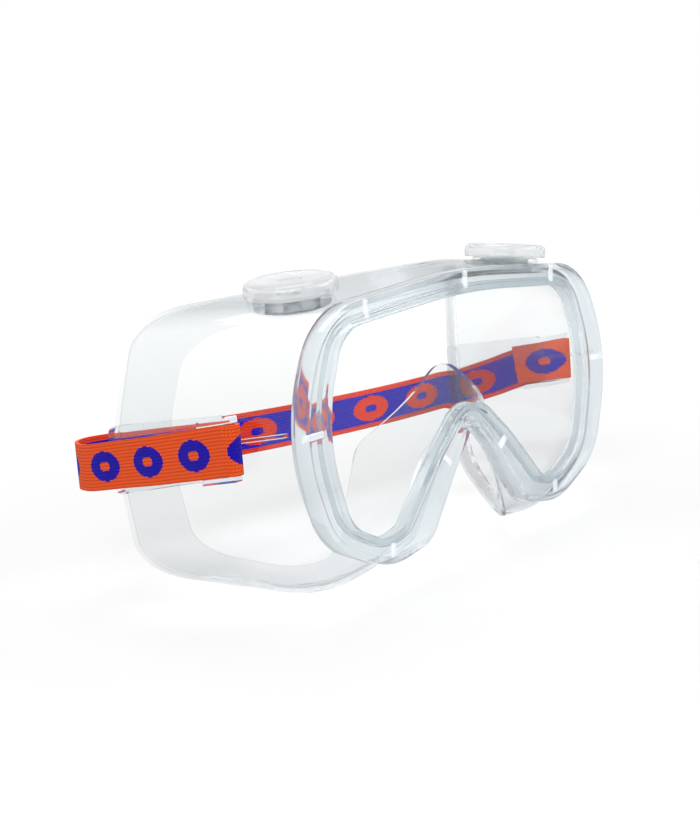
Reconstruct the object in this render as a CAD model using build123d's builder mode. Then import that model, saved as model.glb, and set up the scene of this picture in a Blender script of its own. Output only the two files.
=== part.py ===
"""Splash safety goggles: soft clear frame, flat clear window, capped roof vents and an elastic head strap.

Frame of the model: +X is the wearer's right-hand side of the goggles seen from behind the lens,
-Y is the front, +Z is up. The origin is on the table, under the middle of the whole object.
Every piece is drawn from rim_plane, which stands on the rim's front face at mid-height.
"""
import os

from build123d import *

os.makedirs("parts", exist_ok=True)

# Placement of the rim in the model's frame.
rim_height_above_table = 57.74
rim_front_y = -49.8
rim_plane = Plane(origin=(0, rim_front_y, rim_height_above_table), x_dir=(1, 0, 0), z_dir=(0, -1, 0))

# Rim: half outlines from the top centre round to the nose, as (x, z, corner radius).
rim_half = [(70.5, 33.5, 26), (86, -2, 50), (74, -37, 24), (48, -49, 28), (27, -45.5, 12), (10, -22.5, 20)]
rim_top = (0, 39, 300)
rim_nose = (0, -11.5, 5)
window_half = [(62.5, 26.5, 13), (73.4, -2, 48), (65, -32, 14), (48, -40.5, 14), (38.5, -38, 5),
               (20, -18.5, 60)]
window_top = (0, 31.2, 300)
window_nose = (0, -1, 14)
rim_depth = 6.0
channel_margin = 2.2
channel_depth = 1.2
rib_width = 2.0
rib_setback = 0.2
ribs = [(0, 34.9, 90, 6), (51, 31.6, 84, 6), (78.6, -2, 0, 9.5), (46.5, -43.6, 90, 5), (15.6, -21.8, 40, 5)]

# Lens and its groove in the rim.
lens_thickness = 2.0
lens_overlap = 2.8
groove_front = 2.2
groove_clearance = 0.1

# Skirt: half outlines at the root, the cheeks, the middle and the rear, as (x, z, corner radius).
root_depth, cheek_depth, middle_depth, rear_depth = 4.0, 15.0, 40.0, 84.0
root_half = [(68.6, 31.6, 24), (84, -2, 50), (72.4, -35.8, 22), (47.6, -47.2, 26), (28.4, -43.4, 10),
             (11.5, -21.5, 20)]
root_top = (0, 37, 300)
root_nose = (0, -9.5, 5)
cheek_half = [(73.5, 33.4, 21), (85, -2, 58), (79.5, -41, 23), (57, -54.8, 22), (33.5, -52.6, 12),
              (20, -22, 14)]
cheek_top = (0, 39.8, 300)
cheek_nose = (0, -6.5, 9)
middle_half = [(79, 34.4, 18), (87.2, -3, 80), (84.5, -46, 20), (62, -58, 22), (42, -56.6, 12),
               (28, -20, 12)]
middle_top = (0, 42.4, 300)
middle_nose = (0, -2.5, 12)
rear_half = [(83.5, 32.4, 14), (90, -8, 120), (87, -49, 20), (70, -61.5, 20), (54, -60, 12), (38, -18, 12)]
rear_top = (0, 42.8, 300)
rear_nose = (0, 0, 12)
skirt_wall = 1.8
lip_thickness = 1.5

# Opening of the face lip.
mouth_half = [(70, 25.5, 16), (77, -6, 80), (74.5, -43, 14), (56, -51, 16), (46, -50, 8), (35, -14, 12)]
mouth_top = (0, 32.4, 300)
mouth_nose = (0, 9, 12)

# Face surface that trims the skirt: (x, depth) points of its curve at three heights above rim mid-height.
face_curves = {
    52: [(0, 31), (30, 35.5), (62, 53), (94, 82)],
    -12: [(0, 10), (24, 16), (60, 46), (94, 82)],
    -64: [(0, 8.5), (30, 12.5), (57, 35), (94, 83)],
}
head_reach = 60.0

# Moulded line along each flank.
ridge_width = 1.2
ridge_height = 0.9
ridge_z = -2.6
ridge_slope = -8.5

# Strap lugs on the flanks.
lug_front, lug_rear = 28.0, 76.0
lug_above_front, lug_below_front = 1.8, 2.1
lug_margin_rear, lug_drop_rear = 3.5, 7.0
lug_thickness = 1.7
lug_sink_front, lug_sink_rear = 0.8, 0.6
lug_root_x = 70.0
lug_corner = 3.0
bar_x, bar_depth, bar_radius = 90.2, 22.6, 1.5
loop_wall = 1.7
loop_rear = 41.0
loop_rake = 6.0
loop_root_inset = 2.0
strap_gap = 0.4

# Strap: plan route as (x, depth) and heights of its middle line, one at a depth or x.
strap_width = 15.0
strap_thickness = 1.2
strap_run_x = 93.0
left_turn_depth, left_turn_radius = 85.0, 14.0
right_turn_depth, right_turn_radius = 74.0, 8.0
left_tail_end, right_tail_end = 55.0, 44.0
tail_x = 90.2
bar_strap_z = -4.9
strap_fall = -0.16
left_side_heights = [(50, -9.3), (85, -14.4), (110, -14.9)]
right_side_heights = [(38, -7.4), (56, -13), (77, -19.4), (110, -19.9)]
back_heights = [(-100, -14.2), (-72, -15.1), (-20, -18.3), (30, -20.0), (60, -20.2), (100, -19.6)]

# Roof vents.
vent_x, vent_depth, vent_z = 57.5, 24.0, 36.6
vent_fall_out, vent_rise_back = 0.1, 0.05
vent_collar_radius = 12.0
vent_hole_radius = 8.6
vent_hole_reach = 12.0
vent_flange_radius = 11.4
vent_flange_thickness = 1.2
vent_tube_clearance = 0.1
vent_tube_wall = 1.2
vent_tube_length = 4.6
vent_air_holes, vent_air_radius, vent_air_ring = 6, 1.5, 4.9
socket_radius, socket_wall = 2.0, 1.0
cap_radius, cap_height = 14.6, 4.8
cap_wall = 1.3
cap_edge_radius = 1.95
cap_rim_gap = 0.5
cap_pin_clearance = 0.06
cap_pin_length = 4.0
cap_pad_radius = 3.6


def depth(distance):
    """Plane parallel to the rim's front face, the given distance behind it."""
    return rim_plane.offset(-distance)


def outline(half, top, nose, side=1):
    """Closed symmetric outline with one rounded corner for each (x, z, radius)."""
    corners = [top, *half, nose, *[(-x, z, r) for x, z, r in reversed(half)]]
    points = [(x, z) for x, z, r in corners]
    radii = [r for x, z, r in corners]
    return FilletPolyline(*points, radius=radii, close=True)


def section(distance, half, top, nose, inset=0.0):
    """Face of the skirt's outline at a depth, drawn in by the given inset."""
    with BuildSketch(depth(distance)) as face:
        with BuildLine():
            outline(half, top, nose)
        make_face()
        if inset:
            offset(amount=-inset, kind=Kind.ARC, mode=Mode.REPLACE)
    return face.sketch


def skirt_solid(inset):
    """Solid that fills the skirt, drawn in by the given inset."""
    with BuildPart() as solid:
        loft([
            section(root_depth, root_half, root_top, root_nose, inset),
            section(cheek_depth, cheek_half, cheek_top, cheek_nose, inset),
            section(middle_depth, middle_half, middle_top, middle_nose, inset),
            section(rear_depth, rear_half, rear_top, rear_nose, inset),
        ])
    return solid.part


def face_solid(shift=0.0):
    """Solid behind the face surface, moved forward by the given shift."""
    with BuildPart() as solid:
        for height, curve in face_curves.items():
            level = Plane.XY.offset(rim_height_above_table + height)
            with BuildSketch(level):
                with BuildLine():
                    right = [(x, rim_front_y + y - shift) for x, y in curve]
                    left = [(-x, y) for x, y in reversed(right[1:])]
                    Spline(*left, *right)
                    back_y = right[-1][1] + head_reach
                    Polyline(right[-1], (right[-1][0], back_y), (left[0][0], back_y), left[0])
                make_face()
        loft()
    return solid.part


skirt_outer = skirt_solid(0)
skirt_inner = skirt_solid(skirt_wall)
with BuildPart() as skirt_mouth:
    extrude(section(root_depth, mouth_half, mouth_top, mouth_nose), amount=rear_depth, dir=(0, 1, 0))
face_block = face_solid()
face_block_forward = face_solid(lip_thickness)


def vent_plane(side):
    """Plane on top of a roof vent's collar, leaning with the roof."""
    return Plane(
        origin=(side * vent_x, rim_front_y + vent_depth, rim_height_above_table + vent_z),
        x_dir=(1, 0, -side * vent_fall_out),
        z_dir=(side * vent_fall_out, -vent_rise_back, 1),
    )


# Soft frame: skirt, face lip, rim with its lens groove, flank lines and vent collars in one moulding.
with BuildPart() as lip:
    add(skirt_outer)
    add(face_block_forward, mode=Mode.INTERSECT)
    add(face_block, mode=Mode.SUBTRACT)
    add(skirt_mouth.part, mode=Mode.SUBTRACT)

with BuildPart() as frame_body:
    add(skirt_outer)
    for side in (1, -1):
        with BuildSketch(Plane.YZ.offset(side * (root_half[1][0] - skirt_wall))):
            with Locations((rim_front_y + (rim_depth + lug_front) / 2, rim_height_above_table + ridge_z)):
                Rectangle(lug_front - rim_depth - 1, ridge_width, rotation=ridge_slope)
        extrude(amount=side * (skirt_wall + ridge_height))
        with BuildSketch(vent_plane(side)):
            Circle(vent_collar_radius)
        extrude(amount=-(vent_z - cheek_half[0][1] + skirt_wall))
    add(skirt_inner, mode=Mode.SUBTRACT)
    add(face_block, mode=Mode.SUBTRACT)
    add(lip.part)
    with BuildSketch(rim_plane):
        with BuildLine():
            outline(rim_half, rim_top, rim_nose)
        make_face()
    extrude(amount=-rim_depth)
    with BuildSketch(rim_plane):
        with BuildLine():
            outline(rim_half, rim_top, rim_nose)
        make_face()
        offset(amount=-channel_margin, kind=Kind.ARC, mode=Mode.REPLACE)
        with BuildSketch(mode=Mode.SUBTRACT):
            with BuildLine():
                outline(window_half, window_top, window_nose)
            make_face()
            offset(amount=channel_margin, kind=Kind.ARC, mode=Mode.REPLACE)
    extrude(amount=-channel_depth, mode=Mode.SUBTRACT)

    with BuildSketch(depth(rib_setback)):
        for x, z, turn, length in ribs:
            for side in ((1, -1) if x else (1,)):
                with Locations((side * x, z)):
                    Rectangle(length, rib_width, rotation=turn * side)
    extrude(amount=-channel_depth)
    with BuildSketch(rim_plane):
        with BuildLine():
            outline(window_half, window_top, window_nose)
        make_face()
    extrude(amount=-rim_depth, mode=Mode.SUBTRACT)
    with BuildSketch(depth(groove_front)):
        with BuildLine():
            outline(window_half, window_top, window_nose)
        make_face()
        offset(amount=lens_overlap + groove_clearance, kind=Kind.ARC, mode=Mode.REPLACE)
    extrude(amount=-(lens_thickness + 2 * groove_clearance), mode=Mode.SUBTRACT)
    for side in (1, -1):
        with BuildSketch(vent_plane(side)):
            Circle(vent_hole_radius)
        extrude(amount=-vent_hole_reach, mode=Mode.SUBTRACT)

frame_body.part.label = "frame_body"
export_step(frame_body.part, "parts/frame_body.step")


# Lens: flat sheet whose edge sits in the rim's groove.
with BuildPart() as lens:
    with BuildSketch(depth(groove_front + groove_clearance)):
        with BuildLine():
            outline(window_half, window_top, window_nose)
        make_face()
        offset(amount=lens_overlap, kind=Kind.ARC, mode=Mode.REPLACE)
    extrude(amount=-lens_thickness)
lens.part.label = "lens"
export_step(lens.part, "parts/lens.step")


def loop_band(half_height, side):
    """Solid between two planes that follow the strap's fall along the flank."""
    with BuildPart(mode=Mode.PRIVATE) as band:
        with BuildSketch(Plane.YZ):
            with BuildLine():
                bar_height = rim_height_above_table + bar_strap_z + half_height
                upper = [(rim_front_y + y, bar_height + strap_fall * (y - bar_depth)) for y in (0, lug_rear)]
                Polyline(*upper, *[(y, z - 2 * half_height) for y, z in reversed(upper)], close=True)
            make_face()
        extrude(amount=side * 2 * bar_x)
    return band.part


def strap_lug(side, name):
    """Thick plate on the flank with a loop and an upright bar for the strap."""
    plate_front_x = cheek_half[1][0] - lug_sink_front
    plate_rear_x = rear_half[1][0] - lug_sink_rear
    loop_inner = strap_width / 2 + strap_gap
    loop_front = bar_depth - bar_radius - strap_gap
    strap_height = rim_height_above_table + bar_strap_z
    rear_height = strap_height - lug_drop_rear
    rear_half_height = strap_width / 2 + lug_margin_rear
    with BuildPart() as lug:
        with BuildSketch(Plane.XY):
            with BuildLine():
                Polyline(
                    (side * lug_root_x, rim_front_y + lug_front),
                    (side * (plate_front_x + lug_thickness), rim_front_y + lug_front),
                    (side * (plate_rear_x + lug_thickness), rim_front_y + lug_rear),
                    (side * lug_root_x, rim_front_y + lug_rear),
                    close=True,
                )
            make_face()
        extrude(amount=2 * rim_height_above_table)
        with BuildSketch(Plane.YZ, mode=Mode.PRIVATE) as flank:
            with BuildLine():
                FilletPolyline(
                    (rim_front_y + lug_front, strap_height + strap_width / 2 + lug_above_front),
                    (rim_front_y + lug_rear, rear_height + rear_half_height),
                    (rim_front_y + lug_rear, rear_height - rear_half_height),
                    (rim_front_y + lug_front, strap_height - strap_width / 2 - lug_below_front),
                    radius=lug_corner,
                    close=True,
                )
            make_face()
        extrude(flank.sketch, amount=side * 2 * bar_x, mode=Mode.INTERSECT)
        with BuildPart(mode=Mode.PRIVATE) as loop:
            with BuildSketch(Plane.XY):
                with BuildLine():
                    Polyline(
                        (side * (plate_front_x - loop_root_inset), rim_front_y + loop_rear),
                        (side * (bar_x + bar_radius), rim_front_y + loop_rear - loop_rake),
                        (side * (bar_x + bar_radius), rim_front_y + loop_front),
                        (side * (bar_x - bar_radius), rim_front_y + loop_front),
                        (side * (plate_front_x - loop_root_inset), rim_front_y + lug_front),
                        close=True,
                    )
                make_face()
            extrude(amount=2 * rim_height_above_table)
            add(loop_band(loop_inner + loop_wall, side), mode=Mode.INTERSECT)
            add(loop_band(loop_inner, side), mode=Mode.SUBTRACT)
        add(loop.part)
        bar_plane = Plane.XY.offset(rim_height_above_table + bar_strap_z - loop_inner - loop_wall / 2)
        with BuildSketch(bar_plane):
            with Locations((side * bar_x, rim_front_y + bar_depth)):
                Circle(bar_radius)
        extrude(amount=2 * loop_inner + loop_wall)
        add(skirt_outer, mode=Mode.SUBTRACT)
        add(frame_body.part, mode=Mode.SUBTRACT)
    lug.part.label = name
    export_step(lug.part, f"parts/{name}.step")


strap_lug(-1, "strap_lug_left")
strap_lug(1, "strap_lug_right")


def strap_band(heights, view, reach):
    """Solid between two lines a strap's width apart, seen along one axis."""
    with BuildPart() as band:
        with BuildSketch(view):
            with BuildLine():
                upper = [(u, rim_height_above_table + z + strap_width / 2) for u, z in heights]
                lower = [(u, z - strap_width) for u, z in reversed(upper)]
                Polyline(*upper, *lower, close=True)
            make_face()
        extrude(amount=reach)
    return band.part


# Strap: one woven band, folded round both lug bars, that passes behind the head.
fold_radius = bar_radius + strap_gap + strap_thickness / 2
run_in_x = bar_x - fold_radius
run_out_x = bar_x + fold_radius
left_turn = (-(strap_run_x - left_turn_radius), rim_front_y + left_turn_depth)
right_turn = (strap_run_x - right_turn_radius, rim_front_y + right_turn_depth)
bar_y = rim_front_y + bar_depth
left_diagonal, right_diagonal = left_turn_radius * 0.5**0.5, right_turn_radius * 0.5**0.5
with BuildPart() as strap_plan:
    with BuildSketch(Plane.XY) as route:
        with BuildLine() as path:
            Line((-tail_x, rim_front_y + left_tail_end), (-run_in_x, bar_y))
            ThreePointArc((-run_in_x, bar_y), (-bar_x, bar_y - fold_radius), (-run_out_x, bar_y))
            Line((-run_out_x, bar_y), (-strap_run_x, left_turn[1]))
            ThreePointArc(
                (-strap_run_x, left_turn[1]),
                (left_turn[0] - left_diagonal, left_turn[1] + left_diagonal),
                (left_turn[0], left_turn[1] + left_turn_radius),
            )
            Line(
                (left_turn[0], left_turn[1] + left_turn_radius),
                (right_turn[0], right_turn[1] + right_turn_radius),
            )
            ThreePointArc(
                (right_turn[0], right_turn[1] + right_turn_radius),
                (right_turn[0] + right_diagonal, right_turn[1] + right_diagonal),
                (strap_run_x, right_turn[1]),
            )
            Line((strap_run_x, right_turn[1]), (run_out_x, bar_y))
            ThreePointArc((run_out_x, bar_y), (bar_x, bar_y - fold_radius), (run_in_x, bar_y))
            Line((run_in_x, bar_y), (tail_x, rim_front_y + right_tail_end))
        trace(line_width=strap_thickness)
    extrude(amount=2 * rim_height_above_table)

side_view = Plane(origin=(0, rim_front_y, 0), x_dir=(0, 1, 0), z_dir=(1, 0, 0))
rear_view = Plane(origin=(0, rim_front_y, 0), x_dir=(1, 0, 0), z_dir=(0, -1, 0))
lug_end = (0, bar_strap_z - strap_fall * bar_depth)
left_end = (left_side_heights[-1][0] + left_turn_depth, left_side_heights[-1][1])
right_end = (right_side_heights[-1][0] + right_turn_depth, right_side_heights[-1][1])
back_ends = (-2 * strap_run_x, back_heights[0][1]), (2 * strap_run_x, back_heights[-1][1])
left_band = strap_band([lug_end, *left_side_heights, left_end], side_view, -2 * strap_run_x)
right_band = strap_band([lug_end, *right_side_heights, right_end], side_view, 2 * strap_run_x)
back_band = strap_band([back_ends[0], *back_heights, back_ends[1]], rear_view, -2 * strap_run_x)
with BuildPart() as strap:
    for band, low_x, high_x in (
        (left_band, -2 * strap_run_x, left_turn[0]),
        (back_band, left_turn[0], right_turn[0]),
        (right_band, right_turn[0], 2 * strap_run_x),
    ):
        with BuildPart(mode=Mode.PRIVATE) as stretch:
            with BuildSketch(Plane.XY):
                with Locations(((low_x + high_x) / 2, 0)):
                    Rectangle(high_x - low_x, 4 * strap_run_x)
            extrude(amount=2 * rim_height_above_table)
            add(strap_plan.part, mode=Mode.INTERSECT)
            add(band, mode=Mode.INTERSECT)
        add(stretch.part)
strap.part.label = "strap"
export_step(strap.part, "parts/strap.step")


def vent_base(side, name):
    """Flanged plug in the roof with air holes round a socket for the cap's pin."""
    with BuildPart() as base:
        with BuildSketch(vent_plane(side)):
            Circle(vent_flange_radius)
            Circle(socket_radius, mode=Mode.SUBTRACT)
            with PolarLocations(vent_air_ring, vent_air_holes):
                Circle(vent_air_radius, mode=Mode.SUBTRACT)
        extrude(amount=vent_flange_thickness)
        with BuildSketch(vent_plane(side)):
            Circle(vent_hole_radius - vent_tube_clearance)
            Circle(vent_hole_radius - vent_tube_clearance - vent_tube_wall, mode=Mode.SUBTRACT)
            Circle(socket_radius + socket_wall)
            Circle(socket_radius, mode=Mode.SUBTRACT)
        extrude(amount=-vent_tube_length)
    base.part.label = name
    export_step(base.part, f"parts/{name}.step")


def vent_cap(side, name):
    """Rounded cover over a roof vent, open all round underneath, with a pin for the socket."""
    seat = vent_plane(side).offset(vent_flange_thickness)
    underside = vent_plane(side).offset(cap_rim_gap)
    with BuildPart() as cap:
        with BuildSketch(underside):
            Circle(cap_radius)
        extrude(amount=cap_height)
        fillet(cap.faces().sort_by(Axis(underside.origin, underside.z_dir))[-1].edges(), cap_edge_radius)
        with BuildSketch(underside):
            Circle(cap_radius - cap_wall)
        extrude(amount=cap_height - cap_wall, mode=Mode.SUBTRACT)
        with BuildSketch(seat):
            Circle(cap_pad_radius)
        extrude(amount=cap_height + cap_rim_gap - vent_flange_thickness - cap_wall / 2)
        with BuildSketch(seat):
            Circle(socket_radius - cap_pin_clearance)
        extrude(amount=-cap_pin_length)
    cap.part.label = name
    export_step(cap.part, f"parts/{name}.step")


for side, word in ((-1, "left"), (1, "right")):
    vent_base(side, f"vent_base_{word}")
    vent_cap(side, f"vent_cap_{word}")
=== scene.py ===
"""Splash safety goggles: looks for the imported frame, piece by piece in assembly order."""
import math

import bpy
from mathutils import Euler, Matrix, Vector


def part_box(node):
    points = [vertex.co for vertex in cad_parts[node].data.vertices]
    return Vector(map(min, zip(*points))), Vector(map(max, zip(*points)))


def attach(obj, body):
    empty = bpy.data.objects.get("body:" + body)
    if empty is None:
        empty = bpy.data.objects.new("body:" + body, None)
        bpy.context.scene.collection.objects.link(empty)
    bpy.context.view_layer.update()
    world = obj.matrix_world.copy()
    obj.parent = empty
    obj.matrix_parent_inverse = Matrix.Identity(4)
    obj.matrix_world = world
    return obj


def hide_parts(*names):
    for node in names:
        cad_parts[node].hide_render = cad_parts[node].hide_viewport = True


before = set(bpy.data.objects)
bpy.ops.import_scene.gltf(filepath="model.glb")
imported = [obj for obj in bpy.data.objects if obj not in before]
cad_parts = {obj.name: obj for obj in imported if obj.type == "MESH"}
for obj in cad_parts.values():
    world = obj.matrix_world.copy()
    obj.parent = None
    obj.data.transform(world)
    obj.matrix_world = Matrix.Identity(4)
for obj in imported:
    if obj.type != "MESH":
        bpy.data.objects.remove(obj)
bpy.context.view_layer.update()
scene = bpy.context.scene
scene.view_settings.view_transform = "Standard"

# ---------------------------------------------------------------------------------------------
# Camera, floor and light. The goggles stand on a pale table and are seen from their front left,
# a little from above. Three soft boxes and a bright room light them.
camera_data = bpy.data.cameras.new("camera")
camera_data.lens = 63.27
camera = bpy.data.objects.new("camera", camera_data)
camera.location = (-0.3808, -0.3249, 0.1305)
camera.rotation_euler = Euler([math.radians(a) for a in (80.47, 4.46, -49.91)])
scene.collection.objects.link(camera)
scene.camera = camera


def new_material(name):
    """Material with a principled shader, and its nodes and links."""
    material = bpy.data.materials.new(name)
    material.use_nodes = True
    nodes = material.node_tree.nodes
    return material, nodes, material.node_tree.links, nodes["Principled BSDF"]


bpy.ops.object.select_all(action="DESELECT")
bpy.ops.mesh.primitive_plane_add(size=6, location=(0, 0, -0.0002))
floor = bpy.context.object
floor.name = "floor"
floor_paint, nodes, links, shader = new_material("floor_paint")
shader.inputs["Base Color"].default_value = (0.4, 0.4, 0.4, 1)
shader.inputs["Roughness"].default_value = 0.9
shader.inputs["Specular IOR Level"].default_value = 0
shader.inputs["Emission Color"].default_value = (1, 1, 1, 1)


def background_rays(nodes, links):
    """Share that is 1 for rays seeing the background straight, mirrored or through plastic."""
    rays = nodes.new("ShaderNodeLightPath")
    total = rays.outputs["Is Camera Ray"]
    for kind in ("Is Glossy Ray", "Is Transmission Ray"):
        larger = nodes.new("ShaderNodeMath")
        larger.operation = "MAXIMUM"
        links.new(total, larger.inputs[0])
        links.new(rays.outputs[kind], larger.inputs[1])
        total = larger.outputs[0]
    return total


floor_place = nodes.new("ShaderNodeTexCoord")
floor_reach = nodes.new("ShaderNodeVectorMath")
floor_reach.operation = "LENGTH"
links.new(floor_place.outputs["Object"], floor_reach.inputs[0])
floor_white = nodes.new("ShaderNodeMapRange")
floor_white.inputs["From Min"].default_value = 0.15
floor_white.inputs["From Max"].default_value = 0.8
floor_white.inputs["To Min"].default_value = 0.41
floor_white.inputs["To Max"].default_value = 0.75
links.new(floor_reach.outputs["Value"], floor_white.inputs["Value"])
floor_level = nodes.new("ShaderNodeMath")
floor_level.operation = "MULTIPLY"
links.new(background_rays(nodes, links), floor_level.inputs[0])
links.new(floor_white.outputs["Result"], floor_level.inputs[1])
links.new(floor_level.outputs[0], shader.inputs["Emission Strength"])
floor.data.materials.append(floor_paint)

world = bpy.data.worlds.new("studio")
scene.world = world
world.use_nodes = True
nodes, links = world.node_tree.nodes, world.node_tree.links
background = nodes["Background"]
level = nodes.new("ShaderNodeMapRange")
level.inputs["To Min"].default_value = 0.62
level.inputs["To Max"].default_value = 1.0
links.new(background_rays(nodes, links), level.inputs["Value"])
background.inputs["Color"].default_value = (1, 1, 1, 1)
links.new(level.outputs["Result"], background.inputs["Strength"])


def soft_box(name, location, target, width, height, power):
    """Rectangular soft lamp that faces a point."""
    data = bpy.data.lights.new(name, "AREA")
    data.shape = "RECTANGLE"
    data.size, data.size_y, data.energy = width, height, power
    lamp = bpy.data.objects.new(name, data)
    lamp.location = location
    lamp.rotation_euler = (Vector(target) - Vector(location)).to_track_quat("-Z", "Y").to_euler()
    scene.collection.objects.link(lamp)


soft_box("key", (-0.9, -0.5, 0.8), (0, 0, 0.05), 0.8, 0.5, 9)
soft_box("fill", (0.7, -0.9, 0.6), (0, 0, 0.05), 0.6, 0.6, 5)
soft_box("top", (0.1, 0.3, 1.1), (0, 0, 0.05), 0.9, 0.6, 6)

# ---------------------------------------------------------------------------------------------
# Rim: the thick grey-blue front of one soft clear vinyl moulding. A shallow channel with nine
# locating ribs runs round its face, and a groove inside it grips the lens.
MM = 0.001


def clear_plastic(name, face_colour, edge_colour, roughness, ior, ripple, gloss=0.6, clear=1.0):
    """Clear plastic that deepens in colour at grazing angles, with a faint moulded ripple."""
    material, nodes, links, shader = new_material(name)
    shader.inputs["Transmission Weight"].default_value = clear
    shader.inputs["Roughness"].default_value = roughness
    shader.inputs["Coat Weight"].default_value = gloss
    shader.inputs["Coat Roughness"].default_value = 0.08
    shader.inputs["IOR"].default_value = ior
    facing = nodes.new("ShaderNodeLayerWeight")
    facing.inputs["Blend"].default_value = 0.35
    ramp = nodes.new("ShaderNodeValToRGB")
    ramp.color_ramp.elements[0].color = (*face_colour, 1)
    ramp.color_ramp.elements[0].position = 0.25
    ramp.color_ramp.elements[1].color = (*edge_colour, 1)
    ramp.color_ramp.elements[1].position = 0.95
    links.new(facing.outputs["Facing"], ramp.inputs["Fac"])
    links.new(ramp.outputs["Color"], shader.inputs["Base Color"])
    place = nodes.new("ShaderNodeTexCoord")
    noise = nodes.new("ShaderNodeTexNoise")
    noise.inputs["Scale"].default_value = 45
    noise.inputs["Detail"].default_value = 1
    bump = nodes.new("ShaderNodeBump")
    bump.inputs["Strength"].default_value = ripple
    bump.inputs["Distance"].default_value = 0.001
    links.new(place.outputs["Object"], noise.inputs["Vector"])
    links.new(noise.outputs["Fac"], bump.inputs["Height"])
    links.new(bump.outputs["Normal"], shader.inputs["Normal"])
    return material


skirt_vinyl = clear_plastic(
    "skirt_vinyl", (0.9, 0.913, 0.918), (0.42, 0.47, 0.5), 0.03, 1.03, 0.05, 0.5)
rim_vinyl = clear_plastic(
    "rim_vinyl", (0.74, 0.79, 0.815), (0.32, 0.38, 0.44), 0.1, 1.08, 0.03, 0.9, 0.93)
rib_vinyl = clear_plastic(
    "rib_vinyl", (0.95, 0.96, 0.965), (0.78, 0.82, 0.84), 0.05, 1.06, 0.0, 0.9, 0.6)
skirt_top_height = 39.96
front_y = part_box("frame_body")[0].y
mid_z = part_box("frame_body")[1].z - skirt_top_height * MM
rim_deep = 6.0
rim_section = [(0, 39, 300), (70.5, 33.5, 26), (86, -2, 50), (74, -37, 24), (48, -49, 28),
               (27, -45.5, 12), (10, -22.5, 20), (0, -11.5, 5)]
window_section = [(0, 31.2, 300), (62.5, 26.5, 13), (73.4, -2, 48), (65, -32, 14), (48, -40.5, 14),
                  (38.5, -38, 5), (20, -18.5, 60), (0, -1, 14)]
channel_margin, channel_deep = 2.2, 1.2
groove_front, groove_back, groove_reach = 2.2, 4.4, 2.9
rib_width, rib_setback, rib_end_gap, rib_floor_gap = 2.0, 0.2, 0.3, 0.06
ribs = [(0, 34.9, 90, 6), (51, 31.6, 84, 6), (78.6, -2, 0, 9.5), (46.5, -43.6, 90, 5),
        (15.6, -21.8, 40, 5)]
corner_round = 0.3
arc_steps, straight_steps = 12, 5


def rounded_outline(half):
    """Points round a symmetric outline with a rounded corner for each (x, z, radius)."""
    corners = half + [(-x, z, r) for x, z, r in reversed(half[1:-1])]
    arcs = []
    for i, (x, z, radius) in enumerate(corners):
        corner = Vector((x, z))
        before = (Vector(corners[i - 1][:2]) - corner).normalized()
        after = (Vector(corners[(i + 1) % len(corners)][:2]) - corner).normalized()
        half_angle = before.angle(after) / 2
        centre = corner + (before + after).normalized() * radius / math.sin(half_angle)
        start = corner + before * radius / math.tan(half_angle) - centre
        end = corner + after * radius / math.tan(half_angle) - centre
        swing = start.angle(end)
        arcs.append([centre + (start * math.sin(swing * (1 - k / arc_steps))
                               + end * math.sin(swing * k / arc_steps)) / math.sin(swing)
                     for k in range(arc_steps + 1)])
    points = []
    for i, arc in enumerate(arcs):
        points += arc
        following = arcs[(i + 1) % len(arcs)][0]
        points += [arc[-1].lerp(following, k / straight_steps) for k in range(1, straight_steps)]
    return points


def grown(points, amount):
    """Closed outline moved outwards by an amount."""
    moved = []
    for i, point in enumerate(points):
        along = points[(i + 1) % len(points)] - points[i - 1]
        moved.append(point + Vector((-along.y, along.x)).normalized() * amount)
    return moved


def pick(*pieces):
    """Selects only these pieces and makes the last one active."""
    bpy.ops.object.select_all(action="DESELECT")
    for piece in pieces:
        piece.select_set(True)
    bpy.context.view_layer.objects.active = pieces[-1]


def block(place, size, rotation):
    """Block with rounded edges at a place given as (x, depth, z) in millimetres."""
    x, depth, z = place
    bpy.ops.object.select_all(action="DESELECT")
    bpy.ops.mesh.primitive_cube_add(
        size=1, location=(x * MM, front_y + depth * MM, mid_z + z * MM), rotation=rotation)
    piece = bpy.context.object
    piece.scale = [length * MM for length in size]
    bpy.ops.object.transform_apply()
    soften = piece.modifiers.new("soften", "BEVEL")
    soften.width = corner_round * MM
    soften.segments = 2
    bpy.ops.object.modifier_apply(modifier="soften")
    return piece


def ring_mesh(name, rings, closed):
    """Quads between rings of (x, depth, z) points in millimetres; closed joins last to first."""
    count = len(rings[0])
    corners = [(x * MM, front_y + depth * MM, mid_z + z * MM)
               for ring in rings for x, depth, z in ring]
    faces = []
    for j in range(len(rings) if closed else len(rings) - 1):
        low, high = j * count, (j + 1) % len(rings) * count
        for i in range(count):
            after = (i + 1) % count
            faces.append((low + i, low + after, high + after, high + i))
    mesh = bpy.data.meshes.new(name)
    mesh.from_pydata(corners, [], faces)
    piece = bpy.data.objects.new(name, mesh)
    scene.collection.objects.link(piece)
    pick(piece)
    return piece


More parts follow.
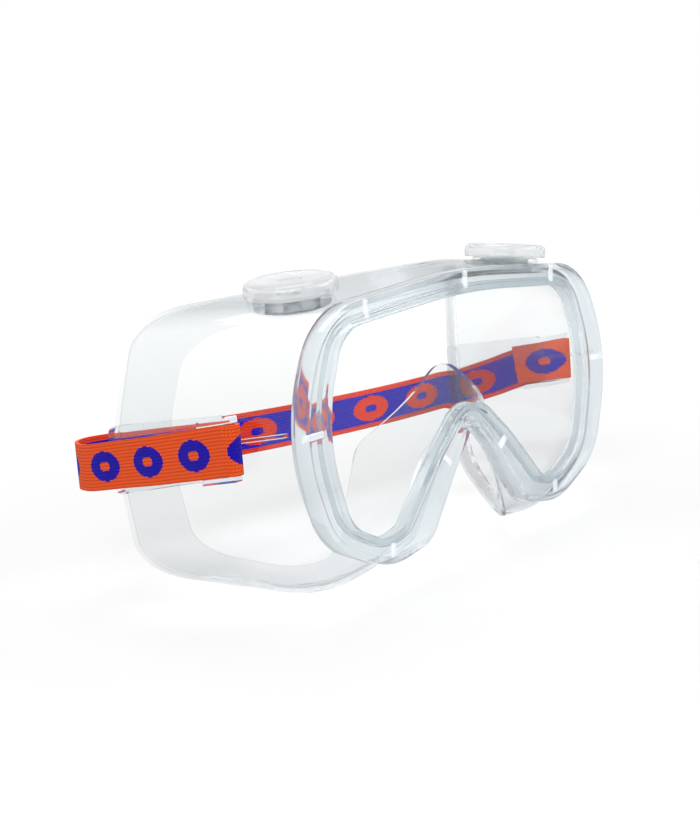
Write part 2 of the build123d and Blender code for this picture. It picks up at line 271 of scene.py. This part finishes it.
rim_line, window_line = rounded_outline(rim_section), rounded_outline(window_section)
channel_outside = grown(rim_line, -channel_margin)
channel_inside = grown(window_line, channel_margin)
groove_line = grown(window_line, groove_reach)
profile = [
    (rim_line, 0), (channel_outside, 0), (channel_outside, channel_deep),
    (channel_inside, channel_deep), (channel_inside, 0), (window_line, 0),
    (window_line, groove_front), (groove_line, groove_front), (groove_line, groove_back),
    (window_line, groove_back), (window_line, rim_deep), (rim_line, rim_deep),
]
rim = ring_mesh("soft_rim", [[(p.x, depth, p.y) for p in line] for line, depth in profile], True)
rim.data.materials.append(rim_vinyl)
edge_round = rim.modifiers.new("edge_round", "BEVEL")
edge_round.width = corner_round * MM
edge_round.segments = 2
edge_round.limit_method = "ANGLE"
edge_round.angle_limit = math.radians(50)
bpy.ops.object.modifier_apply(modifier="edge_round")
rib_pieces = []
for x, z, turn, length in ribs:
    for side in ((1, -1) if x else (1,)):
        rib = block(
            (side * x, (rib_setback + channel_deep) / 2, z),
            (length - rib_end_gap, channel_deep - rib_setback - rib_floor_gap, rib_width),
            (0, math.radians(-turn * side), 0))
        rib.data.materials.append(rib_vinyl)
        rib_pieces.append(rib)
pick(*rib_pieces, rim)
bpy.ops.object.join()
bpy.ops.object.mode_set(mode="EDIT")
bpy.ops.mesh.select_all(action="SELECT")
bpy.ops.mesh.normals_make_consistent(inside=False)
bpy.ops.object.mode_set(mode="OBJECT")
bpy.ops.object.shade_smooth_by_angle(angle=math.radians(40))
rim.visible_shadow = False
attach(rim, "goggles")
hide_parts("frame_body")

# ---------------------------------------------------------------------------------------------
# Skirt: the thin deep wall of the same moulding, swept back from the rim round the temples, nose
# and cheeks, with a lip turned in against the face and two raised collars in the roof.
skirt_wall, skirt_start = 1.7, rim_deep + 0.02
skirt_sections = {
    4: [(0, 37, 300), (68.6, 31.6, 24), (84, -2, 50), (72.4, -35.8, 22), (47.6, -47.2, 26),
        (28.4, -43.4, 10), (11.5, -21.5, 20), (0, -9.5, 5)],
    15: [(0, 39.8, 300), (73.5, 33.4, 21), (85, -2, 58), (79.5, -41, 23), (57, -54.8, 22),
         (33.5, -52.6, 12), (20, -22, 14), (0, -6.5, 9)],
    40: [(0, 42.4, 300), (79, 34.4, 18), (87.2, -3, 80), (84.5, -46, 20), (62, -58, 22),
         (42, -56.6, 12), (28, -20, 12), (0, -2.5, 12)],
    84: [(0, 42.8, 300), (83.5, 32.4, 14), (90, -8, 120), (87, -49, 20), (70, -61.5, 20),
         (54, -60, 12), (38, -18, 12), (0, 0, 12)],
}
mouth_section = [(0, 32.4, 300), (70, 25.5, 16), (77, -6, 80), (74.5, -43, 14), (56, -51, 16),
                 (46, -50, 8), (35, -14, 12), (0, 9, 12)]
face_curves = {
    52: [(0, 31), (30, 35.5), (62, 53), (94, 82)],
    -12: [(0, 10), (24, 16), (60, 46), (94, 82)],
    -64: [(0, 8.5), (30, 12.5), (57, 35), (94, 83)],
}
wall_rings, lip_rings, edge_steps = 26, 9, 25
vent_x, vent_depth, vent_height = 57.5, 24, 36.6
collar_radius, collar_height, collar_wall, roof_hole_radius = 12, 3.6, 3.4, 9.5
flank_line_place, flank_line_size, flank_line_slope = (83.7, 17, -2.6), (2.4, 21, 1.2), -8.5


def smooth_value(knots, values, at):
    """Value of the natural cubic curve through the knots."""
    count = len(knots)
    gaps = [knots[i + 1] - knots[i] for i in range(count - 1)]
    rises = [(values[i + 1] - values[i]) / gaps[i] for i in range(count - 1)]
    spread, pull = [0.0] * count, [0.0] * count
    for i in range(1, count - 1):
        weight = 2 * (gaps[i - 1] + gaps[i]) - gaps[i - 1] * spread[i - 1]
        spread[i] = gaps[i] / weight
        pull[i] = (6 * (rises[i] - rises[i - 1]) - gaps[i - 1] * pull[i - 1]) / weight
    curve = [0.0] * count
    for i in range(count - 2, 0, -1):
        curve[i] = pull[i] - spread[i] * curve[i + 1]
    i = max(0, min(count - 2, sum(at > knot for knot in knots) - 1))
    low, high, gap = at - knots[i], knots[i + 1] - at, gaps[i]
    before = values[i] / gap - curve[i] * gap / 6
    after = values[i + 1] / gap - curve[i + 1] * gap / 6
    bent = (curve[i] * high ** 3 + curve[i + 1] * low ** 3) / (6 * gap)
    return bent + (before * high + after * low)


def face_depth(x, z):
    """Depth of the face behind the rim's front, a square curve through the three levels."""
    levels = list(face_curves)
    depths = []
    for level in levels:
        right = face_curves[level]
        knots = [-p[0] for p in reversed(right[1:])] + [p[0] for p in right]
        values = [p[1] for p in reversed(right[1:])] + [p[1] for p in right]
        depths.append(smooth_value(knots, values, x))
    total = 0
    for i, level in enumerate(levels):
        others = [other for other in levels if other != level]
        share = (z - others[0]) * (z - others[1]) / ((level - others[0]) * (level - others[1]))
        total += depths[i] * share
    return total


def vent_seat(side):
    """Middle of a roof vent's collar top, and the way the vent leans."""
    place = Vector((side * vent_x * MM, front_y + vent_depth * MM, mid_z + vent_height * MM))
    return place, Vector((side * 0.1, -0.05, 1)).normalized()


depths = list(skirt_sections)
outlines = [rounded_outline(half) for half in skirt_sections.values()]
mouth_points = rounded_outline(mouth_section)
columns = len(mouth_points)
rings = [[] for _ in range(wall_rings + 1 + lip_rings)]
for i in range(columns):
    xs, zs = [o[i].x for o in outlines], [o[i].y for o in outlines]
    end = 20.0
    for _ in range(edge_steps):
        end = (end + face_depth(smooth_value(depths, xs, end), smooth_value(depths, zs, end))) / 2
    for j in range(wall_rings + 1):
        depth = skirt_start + (end - skirt_start) * j / wall_rings
        rings[j].append((smooth_value(depths, xs, depth), depth, smooth_value(depths, zs, depth)))
    edge = rings[wall_rings][-1]
    for j in range(1, lip_rings + 1):
        x = edge[0] + (mouth_points[i].x - edge[0]) * j / lip_rings
        z = edge[2] + (mouth_points[i].y - edge[2]) * j / lip_rings
        rings[wall_rings + j].append((x, face_depth(x, z), z))
skirt = ring_mesh("soft_skirt", rings, False)
skirt_mesh = skirt.data
collar_tops = [vent_seat(side)[0] for side in (-1, 1)]
bpy.ops.object.mode_set(mode="EDIT")
bpy.ops.mesh.select_mode(type="FACE")
bpy.ops.mesh.select_all(action="DESELECT")
bpy.ops.object.mode_set(mode="OBJECT")
for face in skirt_mesh.polygons:
    face.select = min((face.center - top).length for top in collar_tops) < roof_hole_radius * MM
bpy.ops.object.mode_set(mode="EDIT")
bpy.ops.mesh.delete(type="FACE")
bpy.ops.object.mode_set(mode="OBJECT")
wall = skirt.modifiers.new("wall", "SOLIDIFY")
wall.thickness = skirt_wall * MM
wall.offset = -1
wall.use_quality_normals = True
bpy.ops.object.modifier_apply(modifier="wall")
small_parts = []
for side in (-1, 1):
    top, lean = vent_seat(side)
    bpy.ops.object.select_all(action="DESELECT")
    bpy.ops.mesh.primitive_cylinder_add(
        vertices=72, radius=collar_radius * MM, depth=collar_height * MM, end_fill_type="NOTHING",
        location=top - lean * collar_height / 2 * MM,
        rotation=lean.to_track_quat("Z", "Y").to_euler())
    collar = bpy.context.object
    bpy.ops.object.transform_apply()
    ring_wall = collar.modifiers.new("ring_wall", "SOLIDIFY")
    ring_wall.thickness = collar_wall * MM
    ring_wall.offset = -1
    bpy.ops.object.modifier_apply(modifier="ring_wall")
    line_x, line_depth, line_z = flank_line_place
    flank_line = block((side * line_x, line_depth, line_z), flank_line_size,
                       (math.radians(flank_line_slope), 0, 0))
    small_parts += [collar, flank_line]
pick(*small_parts, skirt)
bpy.ops.object.join()
bpy.ops.object.shade_smooth_by_angle(angle=math.radians(40))
skirt.data.materials.append(skirt_vinyl)
skirt.visible_shadow = False
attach(skirt, "goggles")
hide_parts("frame_body")

# ---------------------------------------------------------------------------------------------
# Lens: one flat sheet of clear plastic, cut to the window's outline and snapped into the rim's
# groove, so that only its face shows.
lens_clear = clear_plastic(
    "lens_clear", (0.965, 0.972, 0.97), (0.7, 0.76, 0.77), 0.01, 1.02, 0.0, 0.4)
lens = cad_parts["lens"]
lens.data.materials.clear()
lens.data.materials.append(lens_clear)
lens.visible_shadow = False

# ---------------------------------------------------------------------------------------------
# Lugs: thick clear vinyl plates on both flanks, each with a loop and an upright bar at its front
# for the strap to fold round.
lug_clear = clear_plastic(
    "lug_clear", (0.86, 0.885, 0.9), (0.35, 0.4, 0.44), 0.06, 1.1, 0.03, 0.8)
for name in ("strap_lug_left", "strap_lug_right"):
    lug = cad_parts[name]
    lug.data.materials.clear()
    lug.data.materials.append(lug_clear)
    lug.visible_shadow = False

# ---------------------------------------------------------------------------------------------
# Vents: a pale plug with air holes in each roof collar, and a round milky cap whose pin is
# pressed into the plug's socket, open all round underneath.
vent_white = clear_plastic(
    "vent_white", (0.9, 0.92, 0.93), (0.72, 0.75, 0.77), 0.3, 1.1, 0.03, 0.2, 0.75)
cap_milky = clear_plastic(
    "cap_milky", (0.93, 0.94, 0.945), (0.8, 0.83, 0.84), 0.22, 1.12, 0.02, 0.4, 0.8)
cap_profile = [(0, 4.8), (9, 4.8), (12.4, 4.7), (13.7, 4.3), (14.4, 3.6), (14.6, 2.6), (14.6, 0.3),
               (14.3, 0), (13.5, 0), (13.3, 0.3), (13.3, 2.9), (12.8, 3.5), (3.6, 3.5), (3.6, 0.75),
               (1.94, 0.7), (1.94, -3.0), (1.7, -3.3), (0, -3.3)]
cap_rim_gap, spokes = 0.5, 96
for side, word in ((-1, "left"), (1, "right")):
    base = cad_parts["vent_base_" + word]
    base.data.materials.clear()
    base.data.materials.append(vent_white)
    top, lean = vent_seat(side)
    across = lean.cross(Vector((0, 1, 0))).normalized()
    beyond = lean.cross(across)
    seat = top + lean * cap_rim_gap * MM
    points, faces = [seat + lean * cap_profile[0][1] * MM], []
    for radius, height in cap_profile[1:-1]:
        for k in range(spokes):
            turned = math.tau * k / spokes
            points.append(seat + lean * height * MM
                          + (across * math.cos(turned) + beyond * math.sin(turned)) * radius * MM)
    points.append(seat + lean * cap_profile[-1][1] * MM)
    for k in range(spokes):
        following = (k + 1) % spokes
        faces.append((0, 1 + k, 1 + following))
        for ring in range(len(cap_profile) - 3):
            low, high = 1 + ring * spokes, 1 + (ring + 1) * spokes
            faces.append((low + k, high + k, high + following, low + following))
        last = 1 + (len(cap_profile) - 3) * spokes
        faces.append((last + k, len(points) - 1, last + following))
    cap_mesh = bpy.data.meshes.new("round_cap_" + word)
    cap_mesh.from_pydata(points, [], faces)
    cap = bpy.data.objects.new("round_cap_" + word, cap_mesh)
    scene.collection.objects.link(cap)
    pick(cap)
    bpy.ops.object.mode_set(mode="EDIT")
    bpy.ops.mesh.select_all(action="SELECT")
    bpy.ops.mesh.normals_make_consistent(inside=False)
    bpy.ops.object.mode_set(mode="OBJECT")
    bpy.ops.object.shade_smooth_by_angle(angle=math.radians(35))
    cap_mesh.materials.append(cap_milky)
    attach(cap, word + "_vent_cap")
    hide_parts("vent_cap_" + word)

# ---------------------------------------------------------------------------------------------
# Strap: one 15 mm woven elastic band with a two-sided jacquard, orange outside and blue inside.
# It folds round the upright bar of each lug, and a free tail lies under it on each plate.
strap_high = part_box("strap")[1]
strap_width, strap_thick, bar_drop = 15 * MM, 1.15 * MM, 7.9
bar_z = strap_high.z - bar_drop * MM
bar_x, bar_depth, fold_radius = 90.2, 22.6, 2.5
fold_inside, fold_outside = bar_x - fold_radius, bar_x + fold_radius


def spot(x, depth, drop):
    """Point on the strap's middle line, in millimetres behind the rim and below the bars."""
    return Vector((x * MM, front_y + depth * MM, bar_z - drop * MM))


def turn(centre, radius, start, end, steps, drop_start, drop_end):
    """Points round a level turn, from one angle to another in degrees."""
    points = []
    for step in range(steps + 1):
        share = step / steps
        angle = math.radians(start + (end - start) * share)
        x, depth = centre[0] + radius * math.cos(angle), centre[1] + radius * math.sin(angle)
        points.append(spot(x, depth, drop_start + (drop_end - drop_start) * share))
    return points


def run(start, end, steps, sway=0.0):
    """Points along a straight stretch, with a little sway where the elastic hangs slack."""
    first, last = spot(*start), spot(*end)
    points = []
    for step in range(1, steps):
        share = step / steps
        point = first.lerp(last, share)
        point.x += sway * MM * math.sin(share * math.tau * 1.5)
        points.append(point)
    return points


route = [spot(-90.2, 55, 5.2)]
route += run((-90.2, 55, 5.2), (-fold_inside, bar_depth, 0), 8)
route += turn((-bar_x, bar_depth), fold_radius, 0, -180, 10, 0, 0)
route += run((-fold_outside, bar_depth, 0), (-93, 50, 4.4), 6, 0.2)
route += [spot(-93, 50, 4.4)]
route += run((-93, 50, 4.4), (-93, 85, 9.5), 8, -0.35)
route += turn((-79, 85), 14, 180, 90, 10, 9.5, 10.2)
route += run((-79, 99, 10.2), (-20, 92.9, 13.4), 8)
route += [spot(-20, 92.9, 13.4), spot(0, 90.8, 14.2), spot(30, 87.7, 15.1),
          spot(60, 84.6, 15.3)]
route += turn((85, 74), 8, 90, 0, 8, 14.9, 14.0)
route += run((93, 74, 14.0), (93, 56, 8.6), 4)
route += [spot(93, 56, 8.6), spot(93, 47, 5.4), spot(93, 38, 2.9)]
route += turn((bar_x, bar_depth), fold_radius, 0, -180, 10, 0, 0)
route += run((fold_inside, bar_depth, 0), (90.2, 44, 3.4), 6)
route += [spot(90.2, 44, 3.4)]
route_data = bpy.data.curves.new("strap_route", "CURVE")
route_data.dimensions = "3D"
route_data.twist_mode = "Z_UP"
spline = route_data.splines.new("NURBS")
spline.points.add(len(route) - 1)
for control, point in zip(spline.points, route):
    control.co = (*point, 1)
spline.order_u = 3
spline.use_endpoint_u = True
spline.resolution_u = 6
route_curve = bpy.data.objects.new("strap_route", route_data)
scene.collection.objects.link(route_curve)
bpy.context.view_layer.update()
strap_length = spline.calc_length()

bpy.ops.object.select_all(action="DESELECT")
bpy.ops.mesh.primitive_grid_add(x_subdivisions=460, y_subdivisions=10, size=1)
strap = bpy.context.object
strap.name = "strap_webbing"
bpy.ops.object.mode_set(mode="EDIT")
bpy.ops.mesh.select_all(action="SELECT")
bpy.ops.transform.resize(value=(strap_length, strap_width, 1))
bpy.ops.transform.translate(value=(strap_length / 2, 0, 0))
bpy.ops.object.mode_set(mode="OBJECT")
for corner in strap.data.vertices:
    corner.co = (corner.co.x, 0, corner.co.y)
solidify = strap.modifiers.new("thickness", "SOLIDIFY")
solidify.thickness = strap_thick
solidify.offset = 0
bpy.ops.object.modifier_apply(modifier="thickness")
motif_map = strap.data.uv_layers.new(name="motif")
weave_map = strap.data.uv_layers.new(name="weave")
left_stretch, left_pitch, back_pitch = 132.5 * MM, 20.6 * MM, 29.2 * MM
first_spot = -0.105
for loop in strap.data.loops:
    along, _, across = strap.data.vertices[loop.vertex_index].co
    count = min(along, left_stretch) / left_pitch + max(along - left_stretch, 0) / back_pitch
    motif_map.data[loop.index].uv = (count + first_spot, across / strap_width)
    weave_map.data[loop.index].uv = (along * 1000, across * 1000)
for face in strap.data.polygons:
    face.material_index = 0 if face.normal.y > 0.5 else 1 if face.normal.y < -0.5 else 2
bend = strap.modifiers.new("route", "CURVE")
bend.object = route_curve
bpy.ops.object.modifier_apply(modifier="route")
bpy.data.objects.remove(route_curve)
bpy.ops.object.shade_smooth_by_angle(angle=math.radians(50))


def webbing(name, ground, figure, border):
    """Jacquard side of the strap: a plain spot with a hollow middle, repeated along the band."""
    material, nodes, links, shader = new_material(name)

    def calc(operation, first, second=None, third=None):
        step = nodes.new("ShaderNodeMath")
        step.operation = operation
        for socket, value in zip(step.inputs, (first, second, third)):
            if value is None:
                continue
            if isinstance(value, (int, float)):
                socket.default_value = value
            else:
                links.new(value, socket)
        return step.outputs[0]

    def mixed(share, low, high):
        mix = nodes.new("ShaderNodeMix")
        mix.data_type = "RGBA"
        links.new(share, mix.inputs["Factor"])
        for socket, value in ((mix.inputs[6], low), (mix.inputs[7], high)):
            if isinstance(value, tuple):
                socket.default_value = (*value, 1)
            else:
                links.new(value, socket)
        return mix.outputs[2]

    motif = nodes.new("ShaderNodeUVMap")
    motif.uv_map = "motif"
    place = nodes.new("ShaderNodeSeparateXYZ")
    links.new(motif.outputs["UV"], place.inputs[0])
    stepped_u = calc("SNAP", calc("FRACT", place.outputs["X"]), 0.025)
    stepped_v = calc("SNAP", place.outputs["Y"], 0.03)
    u = calc("SUBTRACT", stepped_u, 0.4875)
    v = calc("ADD", stepped_v, 0.015)
    reach = calc("ADD", calc("POWER", calc("DIVIDE", u, 0.33), 2.0),
                 calc("POWER", calc("DIVIDE", v, 0.32), 2.0))
    inside = calc("LESS_THAN", reach, 1.0)
    middle = calc("LESS_THAN", reach, 0.1)
    spot_share = calc("SUBTRACT", inside, middle)
    edge_share = calc("GREATER_THAN", calc("ABSOLUTE", place.outputs["Y"]), 0.385)
    colour = mixed(spot_share, ground, figure)
    colour = mixed(edge_share, colour, border)
    weave = nodes.new("ShaderNodeUVMap")
    weave.uv_map = "weave"
    thread = nodes.new("ShaderNodeSeparateXYZ")
    links.new(weave.outputs["UV"], thread.inputs[0])
    rib = calc("ABSOLUTE", calc("SINE", calc("MULTIPLY", thread.outputs["Y"], math.pi / 1.05)))
    side = calc("SIGN", calc("SINE", calc("MULTIPLY", thread.outputs["Y"], math.pi / 1.05)))
    slant = calc("ADD", calc("MULTIPLY", thread.outputs["X"], math.tau / 0.85),
                 calc("MULTIPLY", calc("MULTIPLY", thread.outputs["Y"], 3.6), side))
    stitch = calc("MULTIPLY_ADD", calc("SINE", slant), 0.5, 0.5)
    height = calc("MULTIPLY", calc("POWER", rib, 0.6), calc("MULTIPLY_ADD", stitch, 0.6, 0.4))
    fuzz = nodes.new("ShaderNodeTexNoise")
    fuzz.inputs["Scale"].default_value = 2.2
    fuzz.inputs["Detail"].default_value = 3
    links.new(weave.outputs["UV"], fuzz.inputs["Vector"])
    # The weave's colour is multiplied by its thread height: painted shade in the grooves between
    # raised threads, with noise for tone that varies at random along the band.
    shade = calc("MULTIPLY_ADD", height, 0.5, calc("MULTIPLY_ADD", fuzz.outputs["Fac"], 0.3, 0.42))
    dark = nodes.new("ShaderNodeMix")
    dark.data_type = "RGBA"
    dark.blend_type = "MULTIPLY"
    dark.inputs["Factor"].default_value = 1
    grey = nodes.new("ShaderNodeCombineColor")
    for channel in ("Red", "Green", "Blue"):
        links.new(shade, grey.inputs[channel])
    links.new(colour, dark.inputs[6])
    links.new(grey.outputs[0], dark.inputs[7])
    links.new(dark.outputs[2], shader.inputs["Base Color"])
    bump = nodes.new("ShaderNodeBump")
    bump.inputs["Strength"].default_value = 0.7
    bump.inputs["Distance"].default_value = 0.00035
    links.new(height, bump.inputs["Height"])
    links.new(bump.outputs["Normal"], shader.inputs["Normal"])
    shader.inputs["Roughness"].default_value = 0.8
    shader.inputs["Specular IOR Level"].default_value = 0.12
    shader.inputs["Sheen Weight"].default_value = 0.04
    return material


orange, red_orange, blue = (0.88, 0.095, 0.015), (0.72, 0.035, 0.008), (0.012, 0.004, 0.40)
strap.data.materials.append(webbing("strap_outside", orange, blue, orange))
strap.data.materials.append(webbing("strap_inside", blue, red_orange, red_orange))
strap.data.materials.append(webbing("strap_edge", orange, orange, orange))
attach(strap, "goggles")
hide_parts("strap")
